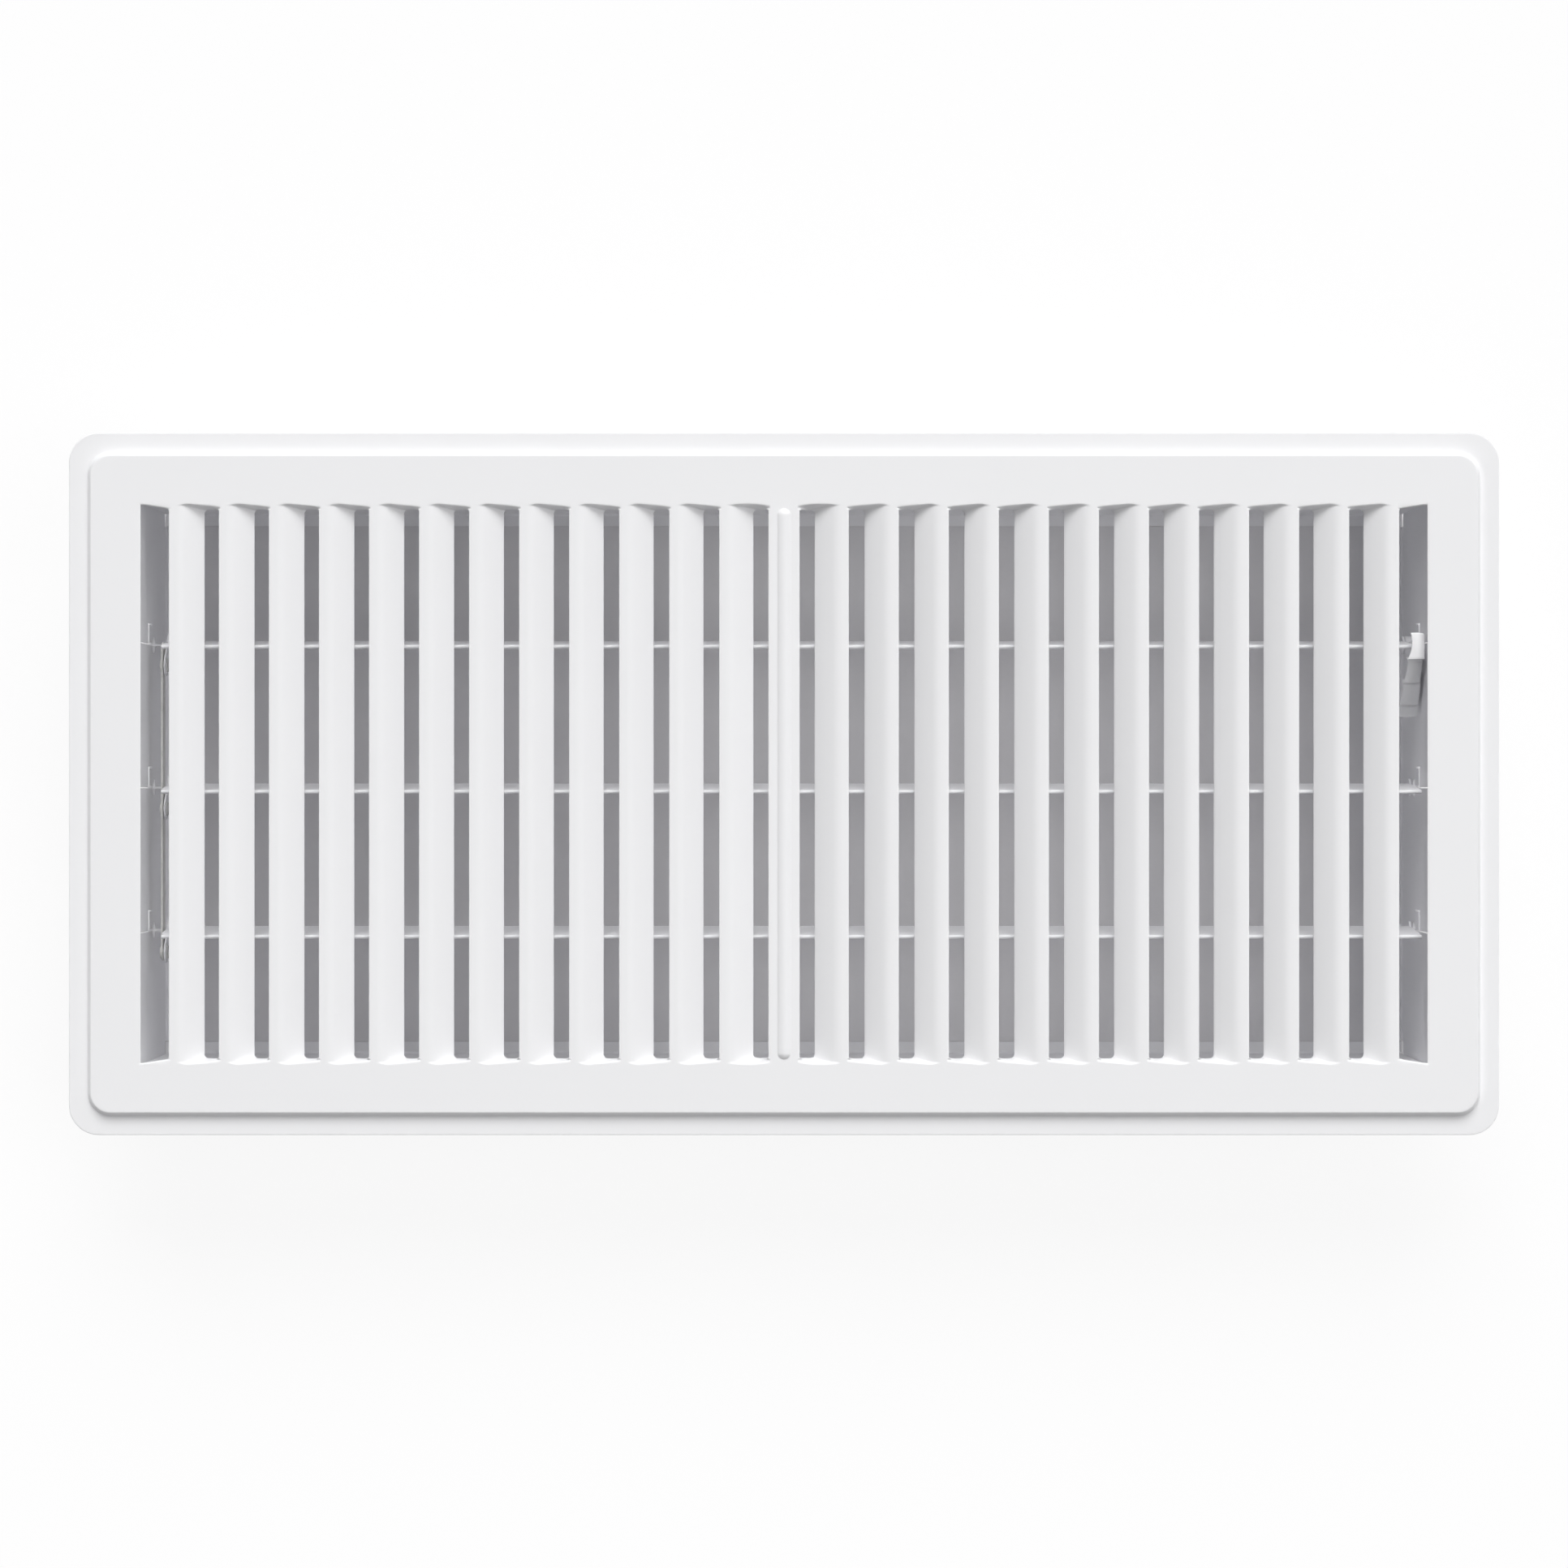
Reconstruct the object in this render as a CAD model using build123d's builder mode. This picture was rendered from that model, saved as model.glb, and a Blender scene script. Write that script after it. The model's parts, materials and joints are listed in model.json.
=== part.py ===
from build123d import *
import os
from math import atan, cos, degrees, radians, sin, tan

os.makedirs("parts", exist_ok=True)

# Driving dimensions, in millimetres and degrees. The register stands on the bottom of its box at Z = 0.

# Face plate, pressed from one sheet
face_length = 381.0
face_width = 187.0
face_sheet = 0.9
rim_land = 5.05
rim_corner_radius = 7.8
step_rise = 2.2
step_run = 1.0
step_top_radius = 0.5
step_foot_radius = 0.4
panel_corner_radius = 6.3
seat_height = 45.0

# Louvre field
border_end = 19.3
border_side = 19.1
end_slot = 7.6
centre_slot = 3.99
louvre_count = 12
louvre_land = 1.9
louvre_bend_radius = 4.8
louvre_angle = 31.0
louvre_slope = 4.71
louvre_end_angle = 20.0
centre_strip_width = 8.36
bead_width = 3.56
bead_height = 0.9
bead_end_margin = 1.1
bead_crown_radius = 0.85

# Damper box, four folded sheets
box_sheet = 0.6
box_clearance = 0.5
box_bend_radius = 1.0
weld_margin = 3.0
return_flange = 3.3
return_corner_gap = 0.3
side_end_gap = 0.1
corner_tab = 12.0
corner_tab_margin = 3.0
corner_bend_radius = 0.35

# Damper blades
blade_count = 3
far_row_margin = 37.1
near_row_margin = 35.1
blade_top_gap = 2.7
blade_bottom_gap = 1.1
blade_sheet = 0.5
blade_ridge = 0.9
blade_dish = 1.75
blade_lower_dish = 1.1
ridge_bend_radius = 3.0
hem_height = 4.5
hem_setback = 0.6
crank_room = 4.5
blade_end_gap = 1.1
lever_room = 2.9
tongue_width = 4.2
tongue_protrusion = 0.9
pivot_clearance = 0.1
keyhole_slit = 0.3

# Wall lances beside the pivots
lance_length = 5.2
lance_height = 7.0
lance_lift = 0.3
lance_rise = 3.2
lance_slot = 0.5

# Crank ears, tie bar and rivets
damper_travel = 85.0
crank_radius = 8.5
ear_pivot_radius = 3.4
ear_pin_radius = 2.8
right_ear_radius = 2.4
bar_width = 4.6
bar_sheet = 0.45
bar_gap = 0.3
bar_lead_end = 6.4
rivet_radius = 1.2
rivet_head_radius = 1.8
rivet_head_height = 0.4
rivet_clearance = 0.05
rivet_fillet = 0.25

# Thumb lever
lever_gap = 0.6
lever_blade_gap = 0.2
lever_top_gap = 3.0
lever_rim = 2.6
lever_start = 83.6
lever_segment = 17.0
lever_segments = 4
lever_segment_drop = 0.55
lever_web = 1.6
lever_hub_radius = 2.5
lever_cap_width = 3.6
lever_flare = 0.13
lever_slot_clearance = 0.05

# Levels and half sizes that follow from them
panel_top = seat_height + face_sheet + step_rise
panel_under = panel_top - face_sheet
step_angle = degrees(atan(step_run / step_rise))
foot_length = face_length - 2 * rim_land
foot_width = face_width - 2 * rim_land
opening_length = face_length - 2 * border_end
opening_width = face_width - 2 * border_side
flange_half_length = foot_length / 2 - face_sheet - step_run - weld_margin
flange_half_width = foot_width / 2 - face_sheet - step_run - weld_margin
inner_half_length = opening_length / 2 + box_clearance
inner_half_width = opening_width / 2 + box_clearance
outer_half_length = inner_half_length + box_sheet
outer_half_width = inner_half_width + box_sheet

# Louvre section: a flat land at the face's level, a bend, and a slope that dives towards the middle
slope_sin = sin(radians(louvre_angle))
slope_cos = cos(radians(louvre_angle))
bend_run = louvre_bend_radius * slope_sin
bend_drop = louvre_bend_radius * (1 - slope_cos)
slope_drop = louvre_slope * tan(radians(louvre_angle))
bend_start = -louvre_land
bend_end = bend_start - bend_run
slope_end = bend_end - louvre_slope
louvre_drop = bend_drop + slope_drop
under_shift = (face_sheet * slope_sin, -face_sheet * slope_cos)
louvre_bottom = panel_top - louvre_drop + under_shift[1]
end_cos = cos(radians(louvre_end_angle))
first_louvre_edge = centre_strip_width / 2 + centre_slot - slope_end
last_louvre_edge = opening_length / 2 - end_slot
louvre_pitch = (last_louvre_edge - first_louvre_edge) / (louvre_count - 1)

# The blades stand between the louvres and the bottom of the box, evenly above and below their pivots.
blade_half_chord = (louvre_bottom - blade_top_gap - blade_bottom_gap) / 2
pivot_height = blade_bottom_gap + blade_half_chord
pivot_radius = tongue_width / 2 + pivot_clearance
far_row = inner_half_width - far_row_margin
near_row = near_row_margin - inner_half_width
blade_pitch = (far_row - near_row) / (blade_count - 1)
pivot_rows = [far_row - blade_pitch * row for row in range(blade_count)]
blade_left_end = crank_room - inner_half_length
blade_right_end = inner_half_length - blade_end_gap
lever_blade_end = inner_half_length - lever_room
lever_radius = panel_top - lever_top_gap - pivot_height

# The crank pin swings evenly to both sides of straight up, so the tie bar never crosses a pivot.
crank_angle = 90.0 + damper_travel / 2
pin_offset_y = crank_radius * cos(radians(crank_angle))
pin_offset_z = crank_radius * sin(radians(crank_angle))
ear_outer = blade_left_end - blade_sheet
bar_inner = ear_outer - bar_gap
bar_outer = bar_inner - bar_sheet


# One louvre, with its ends drawn down to close it against the face

end_plane = Plane(
    origin=(0, opening_width / 2, panel_top),
    x_dir=(1, 0, 0),
    z_dir=(0, -end_cos, sin(radians(louvre_end_angle))),
)

with BuildPart() as louvre:
    with BuildSketch(Plane.XZ.shift_origin((0, 0, panel_top))):
        with BuildLine():
            Line((0, 0), (bend_start, 0))
            RadiusArc((bend_start, 0), (bend_end, -bend_drop), -louvre_bend_radius)
            Line((bend_end, -bend_drop), (slope_end, -louvre_drop))
            Line(
                (slope_end, -louvre_drop),
                (slope_end + under_shift[0], -louvre_drop + under_shift[1]),
            )
            Line(
                (slope_end + under_shift[0], -louvre_drop + under_shift[1]),
                (bend_end + under_shift[0], -bend_drop + under_shift[1]),
            )
            RadiusArc(
                (bend_end + under_shift[0], -bend_drop + under_shift[1]),
                (bend_start, -face_sheet),
                louvre_bend_radius - face_sheet,
            )
            Line((bend_start, -face_sheet), (0, -face_sheet))
            Line((0, -face_sheet), (0, 0))
        make_face()
    extrude(amount=opening_width / 2, both=True)
    with BuildSketch(end_plane):
        with BuildLine():
            Polyline(
                (bend_start, 0),
                (slope_end, 0),
                (slope_end, -(louvre_drop + face_sheet / 2) / end_cos),
                (bend_end, -(bend_drop + face_sheet / 2) / end_cos),
                close=True,
            )
        make_face()
    drawn_end = extrude(amount=-face_sheet)
    mirror(drawn_end, about=Plane.XZ)


# Face plate: rim, step, raised panel, louvre field and the centre strip with its pressed bead
with BuildPart() as face_grille:
    with BuildSketch(Plane.XY.offset(seat_height)):
        RectangleRounded(face_length, face_width, rim_corner_radius)
    extrude(amount=face_sheet)
    with BuildSketch(Plane.XY.offset(seat_height + face_sheet)):
        RectangleRounded(foot_length, foot_width, panel_corner_radius)
    extrude(amount=step_rise, taper=step_angle)
    top_edges = face_grille.faces().sort_by(Axis.Z)[-1].outer_wire().edges()
    fillet(top_edges, radius=step_top_radius)
    rim_top = face_grille.faces().filter_by(Axis.Z).group_by(Axis.Z)[-2]
    fillet(rim_top[0].inner_wires()[0].edges(), radius=step_foot_radius)
    # Hollow underside of the raised panel, one sheet thick
    with BuildSketch(Plane.XY.offset(seat_height)):
        RectangleRounded(
            foot_length - 2 * face_sheet, foot_width - 2 * face_sheet, panel_corner_radius - face_sheet
        )
    extrude(amount=panel_under - seat_height, taper=step_angle / 2, mode=Mode.SUBTRACT)
    with BuildSketch(Plane.XY.offset(panel_top)):
        Rectangle(opening_length, opening_width)
    extrude(amount=-2 * face_sheet, mode=Mode.SUBTRACT)
    with BuildSketch(Plane.XY.offset(panel_under)):
        Rectangle(centre_strip_width, opening_width)
    extrude(amount=face_sheet)
    with BuildSketch(Plane.XY.offset(panel_top)):
        SlotOverall(opening_width - 2 * bead_end_margin, bead_width, rotation=90)
    extrude(amount=bead_height)
    bead_edges = face_grille.faces().sort_by(Axis.Z)[-1].edges()
    fillet(bead_edges, radius=bead_crown_radius)
    with BuildSketch(Plane.XY.offset(panel_under)):
        SlotOverall(
            opening_width - 2 * (bead_end_margin + face_sheet), bead_width - 2 * face_sheet, rotation=90
        )
    extrude(amount=bead_height, mode=Mode.SUBTRACT)
    right_edges = [first_louvre_edge + louvre_pitch * index for index in range(louvre_count)]
    with Locations(*[(edge, 0, 0) for edge in right_edges]):
        right_field = add(louvre.part)
    mirror(right_field, about=Plane.YZ)
face_grille.part.label = "face_grille"
export_step(face_grille.part, "parts/face_grille.step")


# Long side walls: welded flange at the top, stiffening return at the bottom
wall_middle = inner_half_width + box_sheet / 2
flange_middle = panel_under - box_sheet / 2
return_middle = box_sheet / 2

for side_name, direction in (("far", 1), ("near", -1)):
    with BuildPart() as side_wall:
        with BuildSketch(Plane.YZ):
            with BuildLine():
                FilletPolyline(
                    (direction * flange_half_width, flange_middle),
                    (direction * wall_middle, flange_middle),
                    (direction * wall_middle, return_middle),
                    (direction * (inner_half_width - return_flange), return_middle),
                    radius=box_bend_radius,
                )
            trace(line_width=box_sheet)
        extrude(amount=inner_half_length - side_end_gap, both=True)
    side_wall.part.label = f"side_wall_{side_name}"
    export_step(side_wall.part, f"parts/side_wall_{side_name}.step")


# End walls: the same fold, corner tabs that lap the side walls, and a keyhole and a lance for each blade
end_middle = inner_half_length + box_sheet / 2
lap_middle = outer_half_width + box_sheet / 2
return_reach = inner_half_width - return_flange - return_corner_gap
tab_bottom = corner_tab_margin
tab_height = panel_under - box_sheet - 2 * corner_tab_margin
lance_foot = pivot_height + lance_rise
lance_tip = lance_foot + lance_height - lance_slot
lance_reach = lance_slot + lance_length

for end_name, direction in (("right", 1), ("left", -1)):
    with BuildPart() as end_wall:
        with BuildSketch(Plane.XZ):
            with BuildLine():
                FilletPolyline(
                    (direction * flange_half_length, flange_middle),
                    (direction * end_middle, flange_middle),
                    (direction * end_middle, box_sheet + box_bend_radius),
                    radius=box_bend_radius,
                )
            trace(line_width=box_sheet)
        extrude(amount=outer_half_width, both=True)
        with BuildSketch(Plane.XZ):
            with BuildLine():
                FilletPolyline(
                    (direction * end_middle, box_sheet + box_bend_radius),
                    (direction * end_middle, return_middle),
                    (direction * (inner_half_length - return_flange), return_middle),
                    radius=box_bend_radius,
                )
            trace(line_width=box_sheet)
        extrude(amount=return_reach, both=True)
        with BuildSketch(Plane.XY.offset(tab_bottom)):
            for lap in (1, -1):
                with BuildLine():
                    FilletPolyline(
                        (direction * end_middle, lap * (outer_half_width - box_bend_radius)),
                        (direction * end_middle, lap * lap_middle),
                        (direction * (inner_half_length - corner_tab), lap * lap_middle),
                        radius=corner_bend_radius,
                    )
                trace(line_width=box_sheet)
        extrude(amount=tab_height)
        with BuildSketch(Plane.YZ.offset(direction * end_middle)):
            for row in pivot_rows:
                with Locations((row, pivot_height)):
                    Circle(pivot_radius)
                with Locations((row, (pivot_height + panel_under) / 2)):
                    Rectangle(keyhole_slit, panel_under - pivot_height + 2 * box_sheet)
        extrude(amount=flange_half_length - inner_half_length, both=True, mode=Mode.SUBTRACT)
        # Lance: a flap sheared free on three sides and bent inwards, hinged at its lower edge
        with BuildSketch(Plane.YZ.offset(direction * end_middle)):
            for row in pivot_rows:
                with Locations((row + lance_reach / 2, lance_foot + lance_height / 2)):
                    Rectangle(lance_reach, lance_height)
        extrude(amount=box_sheet, both=True, mode=Mode.SUBTRACT)
        for row in pivot_rows:
            with BuildSketch(Plane.XZ.offset(-(row + lance_slot))):
                with BuildLine():
                    Polyline(
                        (direction * inner_half_length, lance_foot),
                        (direction * outer_half_length, lance_foot),
                        (direction * (outer_half_length - lance_lift), lance_tip),
                        (direction * (inner_half_length - lance_lift), lance_tip),
                        close=True,
                    )
                make_face()
            extrude(amount=-(lance_length - lance_slot))
    end_wall.part.label = f"end_wall_{end_name}"
    export_step(end_wall.part, f"parts/end_wall_{end_name}.step")


# Damper blades: a shallow V in section, hemmed along the top, with end ears and flat tongues
tongue_left = -(outer_half_length + tongue_protrusion)
tongue_right = outer_half_length + tongue_protrusion
half_rise = blade_half_chord - blade_sheet / 2

for number, row in enumerate(pivot_rows, start=1):
    right_end = lever_blade_end if number == 1 else blade_right_end
    axis_plane = Plane.YZ.shift_origin((0, row, pivot_height))
    with BuildPart() as blade:
        with BuildSketch(axis_plane.offset(blade_left_end)):
            with BuildLine():
                FilletPolyline(
                    (blade_ridge - blade_dish, half_rise),
                    (blade_ridge, 0),
                    (blade_ridge - blade_lower_dish, -half_rise),
                    radius=ridge_bend_radius,
                )
            trace(line_width=blade_sheet)
            # Folded hem, a second thickness of sheet on the near side of the top edge
            hem_lean = blade_dish / half_rise * hem_height
            hem_face = blade_ridge - blade_dish - blade_sheet / 2
            with BuildLine():
                Polyline(
                    (hem_face + blade_sheet / 2, half_rise),
                    (hem_face - blade_sheet, half_rise),
                    (hem_face - blade_sheet + hem_lean, half_rise - hem_height),
                    (hem_face + blade_sheet / 2 + hem_lean, half_rise - hem_height),
                    close=True,
                )
            make_face()
            with Locations((hem_face, half_rise)):
                Circle(blade_sheet)
        extrude(amount=right_end - blade_left_end)
        # The top corner beside the crank is cut back
        with BuildSketch(axis_plane.offset(blade_left_end)):
            with Locations((0, half_rise)):
                Rectangle(2 * hem_height, 2 * (hem_height + blade_sheet))
        extrude(amount=hem_setback, mode=Mode.SUBTRACT)
        # Left ear: carries the tongue and reaches up to the crank pin
        with BuildSketch(axis_plane.offset(ear_outer)):
            with BuildLine():
                Polyline((0, 0), (pin_offset_y, pin_offset_z))
            Circle(ear_pivot_radius)
            with Locations((pin_offset_y, pin_offset_z)):
                Circle(ear_pin_radius)
            trace(line_width=2 * ear_pin_radius)
            with Locations((pin_offset_y, pin_offset_z)):
                Circle(rivet_radius, mode=Mode.SUBTRACT)
        extrude(amount=blade_sheet)
        # Right ear carries the other tongue
        with BuildSketch(axis_plane.offset(right_end - blade_sheet)):
            Circle(right_ear_radius)
        extrude(amount=blade_sheet)
        with BuildSketch(axis_plane.offset(tongue_left)):
            Rectangle(blade_sheet, tongue_width)
        extrude(amount=ear_outer - tongue_left)
        with BuildSketch(axis_plane.offset(right_end)):
            Rectangle(blade_sheet, tongue_width)
        extrude(amount=tongue_right - right_end)
    blade.part.label = f"damper_blade_{number}"
    export_step(blade.part, f"parts/damper_blade_{number}.step")

    # Rivet that joins the blade's crank ear to the tie bar
    pin_plane = axis_plane.shift_origin(
        axis_plane.origin + Vector(0, pin_offset_y, pin_offset_z)
    )
    with BuildPart() as rivet:
        with BuildSketch(pin_plane.offset(bar_outer - rivet_clearance)):
            Circle(rivet_radius)
        extrude(amount=blade_left_end - bar_outer + rivet_clearance)
        with BuildSketch(pin_plane.offset(bar_outer - rivet_clearance)):
            Circle(rivet_head_radius)
        extrude(amount=-rivet_head_height)
        with BuildSketch(pin_plane.offset(blade_left_end)):
            Circle(rivet_head_radius)
        extrude(amount=rivet_head_height)
        rims = rivet.edges().filter_by(GeomType.CIRCLE).sort_by(Axis.X)
        fillet([rims[0], rims[-1]], radius=rivet_fillet)
    rivet.part.label = f"link_rivet_{number}"
    export_step(rivet.part, f"parts/link_rivet_{number}.step")


# Tie bar: a flat strip that makes the blades turn together
pin_rows = [row + pin_offset_y for row in pivot_rows]
bar_far = pin_rows[0] + bar_lead_end
bar_near = pin_rows[-1] - bar_width / 2
with BuildPart() as tie_bar:
    with BuildSketch(Plane.YZ.shift_origin((0, 0, pivot_height + pin_offset_z)).offset(bar_outer)):
        with Locations(((bar_far + bar_near) / 2, 0)):
            SlotOverall(bar_far - bar_near, bar_width)
        with Locations(*[(row, 0) for row in pin_rows]):
            Circle(rivet_radius + rivet_clearance, mode=Mode.SUBTRACT)
    extrude(amount=bar_sheet)
tie_bar.part.label = "tie_bar"
export_step(tie_bar.part, "parts/tie_bar.step")


# Thumb lever: a hub pushed onto the first blade's tongue and a stepped rim that the finger drags
lever_left = lever_blade_end + lever_blade_gap
lever_right = inner_half_length - lever_gap
lever_plane = Plane.YZ.shift_origin((0, pivot_rows[0], pivot_height)).offset(lever_right)
lever_sweep = lever_segment * lever_segments
rim_inner = lever_radius - lever_rim


def rim_point(radius, angle):
    return (radius * cos(radians(angle)), radius * sin(radians(angle)))


with BuildPart() as thumb_lever:
    # Rim, one step for each finger hold
    for index in range(lever_segments):
        start = lever_start + lever_segment * index
        stop = start + lever_segment
        middle = (start + stop) / 2
        outer = lever_radius - lever_segment_drop * index
        inner = rim_inner - lever_segment_drop * index
        with BuildSketch(lever_plane):
            with BuildLine():
                ThreePointArc(rim_point(outer, start), rim_point(outer, middle), rim_point(outer, stop))
                Line(rim_point(outer, stop), rim_point(inner, stop))
                ThreePointArc(rim_point(inner, stop), rim_point(inner, middle), rim_point(inner, start))
                Line(rim_point(inner, start), rim_point(outer, start))
            make_face()
        extrude(amount=-(lever_right - lever_left + lever_flare * lever_radius))
    # The rim flares towards its tip
    with BuildSketch(Plane.XY.offset(pivot_height)):
        cap_side = lever_right - lever_cap_width
        near = -2 * lever_radius
        far = lever_radius
        with BuildLine():
            Polyline(
                (cap_side + lever_flare * far, pivot_rows[0] + far),
                (cap_side + lever_flare * near, pivot_rows[0] + near),
                (cap_side + lever_flare * near - lever_radius, pivot_rows[0] + near),
                (cap_side + lever_flare * far - lever_radius, pivot_rows[0] + far),
                close=True,
            )
        make_face()
    extrude(amount=2 * lever_radius, mode=Mode.SUBTRACT)
    # Web from the hub to the rim
    with BuildSketch(lever_plane):
        with BuildLine():
            Polyline(
                (0, 0),
                rim_point(rim_inner + lever_rim / 2, lever_start),
                rim_point(rim_inner + lever_rim / 2 - lever_segment_drop, lever_start + lever_sweep / 2),
                rim_point(
                    rim_inner + lever_rim / 2 - lever_segment_drop * (lever_segments - 1),
                    lever_start + lever_sweep,
                ),
                close=True,
            )
        make_face()
        Circle(lever_hub_radius)
    extrude(amount=-lever_web)
    with BuildSketch(lever_plane):
        Circle(lever_hub_radius)
    extrude(amount=-(lever_right - lever_left))
    with BuildSketch(lever_plane):
        Rectangle(
            blade_sheet + 2 * lever_slot_clearance, tongue_width + 2 * lever_slot_clearance
        )
    extrude(amount=-(lever_right - lever_left), mode=Mode.SUBTRACT)
thumb_lever.part.label = "thumb_lever"
export_step(thumb_lever.part, "parts/thumb_lever.step")
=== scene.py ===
import json
import math

import bmesh
import bpy
import numpy as np
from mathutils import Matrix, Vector


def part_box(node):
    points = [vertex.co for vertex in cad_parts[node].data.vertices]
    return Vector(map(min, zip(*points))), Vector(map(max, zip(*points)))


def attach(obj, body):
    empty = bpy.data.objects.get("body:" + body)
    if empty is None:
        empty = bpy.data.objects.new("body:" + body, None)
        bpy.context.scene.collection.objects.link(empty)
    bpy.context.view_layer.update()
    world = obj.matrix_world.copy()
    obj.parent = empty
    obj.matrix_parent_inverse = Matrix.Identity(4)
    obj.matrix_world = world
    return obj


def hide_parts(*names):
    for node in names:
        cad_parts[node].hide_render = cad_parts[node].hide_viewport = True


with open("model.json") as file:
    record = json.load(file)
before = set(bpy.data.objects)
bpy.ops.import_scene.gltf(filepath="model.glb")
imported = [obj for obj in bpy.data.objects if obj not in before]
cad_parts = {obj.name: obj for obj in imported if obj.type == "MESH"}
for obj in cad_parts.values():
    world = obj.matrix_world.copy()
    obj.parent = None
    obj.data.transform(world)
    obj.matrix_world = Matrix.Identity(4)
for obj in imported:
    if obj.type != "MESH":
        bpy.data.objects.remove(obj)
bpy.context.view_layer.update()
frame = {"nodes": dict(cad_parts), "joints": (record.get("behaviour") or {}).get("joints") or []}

# All lengths are in metres, in the part's own frame
MM = 0.001

# Face plate: outline and levels follow the frame
face_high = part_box("face_grille")[1]
half_length = face_high.x
half_width = face_high.y
bead_height = 0.9 * MM
panel_top = face_high.z - bead_height
sheet = 0.9 * MM
rim_corner = 7.8 * MM
rim_land = 5.05 * MM
step_rise = 2.2 * MM
step_run = 1.0 * MM
step_foot_radius = 0.4 * MM
step_top_radius = 0.5 * MM
step_corner = 6.3 * MM
edge_radius = 0.15 * MM
edge_roll_width = 0.9 * MM
edge_roll_drop = 0.09 * MM
edge_roll_fade = 1.5 * MM

# Louvre field
field_half_length = 171.05 * MM
louvre_count = 12
louvre_land = 1.9 * MM
bend_radius = 4.8 * MM
louvre_angle = math.radians(31.0)
slope_run = 4.77 * MM
end_slot = 7.44 * MM
centre_slot = 3.93 * MM
strip_half_width = 4.18 * MM
bead_half_width = 1.78 * MM
bead_half_length = 73.2 * MM
bead_foot = 0.25 * MM

# Drawn louvre ends: the fold line that bounds them, the wall below it, and the free lip in the gap, which
# climbs at tear_slope to the next flush edge
fold_radius = 0.45 * MM
end_wall_angle = math.radians(76.0)
fold_peak_y = 74.7 * MM
fold_peak_u = 5.3 * MM
fold_far_slope = 0.092
fold_near_curve = 75.0
fold_corner = 0.7 * MM
centre_bow = 0.5 * MM
slot_slope = 0.149
lip_y = 73.15 * MM
slot_lip = 0.45 * MM
tear_slope = 2.0
crease_blend = 0.3 * MM
full_blend_drop = 1.5 * crease_blend
slope_corner = 1.0 * MM
flush_corner = 0.6 * MM
slot_corner = 0.2 * MM
least_blend = 1e-6


def smoothstep(value):
    """0 below 0, 1 above 1, and a smooth rise between them."""
    value = np.clip(value, 0.0, 1.0)
    return value * value * (3.0 - 2.0 * value)


# Louvre section, from the flush edge down to the free edge
bend_run = bend_radius * math.sin(louvre_angle)
bend_end = louvre_land + bend_run
louvre_run = bend_end + slope_run
first_edge = strip_half_width + centre_slot + louvre_run
last_edge = field_half_length - end_slot
pitch = (last_edge - first_edge) / (louvre_count - 1)
flush_edges = first_edge + pitch * np.arange(louvre_count)


def louvre_at(x):
    """Number of the louvre, or of the gap beside it, at |x|."""
    return np.clip(np.searchsorted(flush_edges, x), 0, louvre_count - 1)


def section_drop(u):
    """How far the louvre lies below the panel at a distance u from its flush edge."""
    arc = np.clip(u - louvre_land, 0.0, bend_run)
    drop = bend_radius - np.sqrt(bend_radius**2 - arc**2)
    return drop + np.maximum(u - bend_end, 0.0) * math.tan(louvre_angle)


def fold_drop(depth):
    """How far the drawn end lies below the panel at a plan distance depth inside its fold line."""
    arc_end = fold_radius * math.sin(end_wall_angle)
    arc = np.clip(depth, 0.0, arc_end)
    drop = fold_radius - np.sqrt(fold_radius**2 - arc**2)
    return drop + np.maximum(depth - arc_end, 0.0) * math.tan(end_wall_angle)


def slot_line(x):
    """Y of the slanted fold line over the end slots."""
    return fold_peak_y - slot_slope * (field_half_length - x)


def fold_line(x):
    """Y of the fold line at |x|: bowed over the centre slot, slanted over the others, with rounded ends."""
    louvre = louvre_at(x)
    u = flush_edges[louvre] - x
    near = np.maximum(fold_peak_u - u, 0.0)
    far = np.maximum(u - fold_peak_u, 0.0)
    line = fold_peak_y - fold_near_curve * near**2 - fold_far_slope * far
    middle = (strip_half_width + first_edge - louvre_land) / 2
    reach = (first_edge - louvre_land - strip_half_width) / 2
    bow = fold_peak_y - centre_bow * ((x - middle) / reach) ** 2
    line = np.where(x < first_edge, bow, line)
    line = np.where(x > last_edge, slot_line(x), line)
    gap_start = np.where(louvre == 0, strip_half_width, flush_edges[louvre] - pitch)
    gap_start = np.where(x > last_edge, last_edge, gap_start)
    inside = np.clip(fold_corner - (x - gap_start), 0.0, fold_corner)
    return line - fold_corner + np.sqrt(fold_corner**2 - inside**2)


def bead_rise(x, y):
    """Height of the pressed bead on the centre strip."""
    beyond = np.maximum(np.abs(y) - (bead_half_length - bead_half_width), 0.0)
    reach = np.sqrt(x**2 + beyond**2)
    crown = (bead_half_width**2 + bead_height**2) / (2 * bead_height)
    dome = np.sqrt(np.maximum(crown**2 - reach**2, 0.0)) - (crown - bead_height)
    foot = smoothstep((bead_half_width + bead_foot - reach) / (2 * bead_foot))
    return np.where(reach < bead_half_width + bead_foot, np.maximum(dome, 0.0) * foot, 0.0)


def edge_roll(x):
    """How far a slot's long edge rolls over, at |x|."""
    near = flush_edges[louvre_at(x)] - x
    near = np.where(x > last_edge, x - field_half_length, near)
    near = np.where(x < strip_half_width, strip_half_width - x, near)
    share = np.clip(1.0 - near / edge_roll_width, 0.0, 1.0)
    return edge_roll_drop * share**2


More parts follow.
